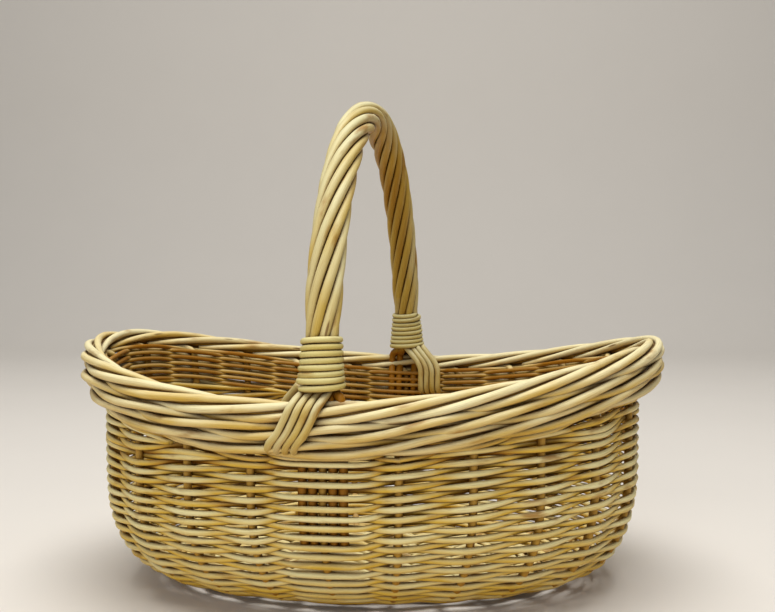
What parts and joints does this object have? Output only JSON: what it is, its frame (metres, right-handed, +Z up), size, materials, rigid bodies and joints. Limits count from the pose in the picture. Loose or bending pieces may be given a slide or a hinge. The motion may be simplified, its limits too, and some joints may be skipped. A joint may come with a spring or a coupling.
{
  "type": "egg collection basket",
  "caption": "Oval willow basket with a boat-shaped rolled border, open woven sides and a fixed roped handle over its middle, for gathering and carrying eggs.",
  "frame": {"origin": "on the floor under the middle of the base", "axes": "+X along the basket's length, +Y across it to the back, +Z up"},
  "size_m": [0.4244, 0.3164, 0.3539],
  "materials": {
    "peeled_willow": "satin",
    "stake_willow": "satin",
    "stick_willow": "matt"
  },
  "bodies": {
    "root": {"base_long_sticks": "stick_willow", "base_cross_sticks": "stick_willow", "base_weave_edge": "peeled_willow", "base_weave_filling": "peeled_willow", "upsett_wale": "peeled_willow", "stakes_front": "stake_willow", "stakes_right": "stake_willow", "stakes_back": "stake_willow", "stakes_left": "stake_willow", "packing_right": "peeled_willow", "packing_left": "peeled_willow", "top_wale_lower": "peeled_willow", "top_wale_upper": "peeled_willow", "handle_bow": "stick_willow", "lashing_front": "peeled_willow", "lashing_back": "peeled_willow", "siding_course_1": "peeled_willow", "siding_course_2": "peeled_willow", "siding_course_3": "peeled_willow", "siding_course_4": "peeled_willow", "siding_course_5": "peeled_willow", "siding_course_6": "peeled_willow", "siding_course_7": "peeled_willow", "siding_course_8": "peeled_willow", "handle_rod_front_1": "peeled_willow", "handle_rod_back_1": "peeled_willow", "handle_rod_front_2": "peeled_willow", "handle_rod_back_2": "peeled_willow", "handle_rod_front_3": "peeled_willow", "handle_rod_back_3": "peeled_willow", "handle_rod_front_4": "peeled_willow", "handle_rod_back_4": "peeled_willow"}
  },
  "joints": []
}
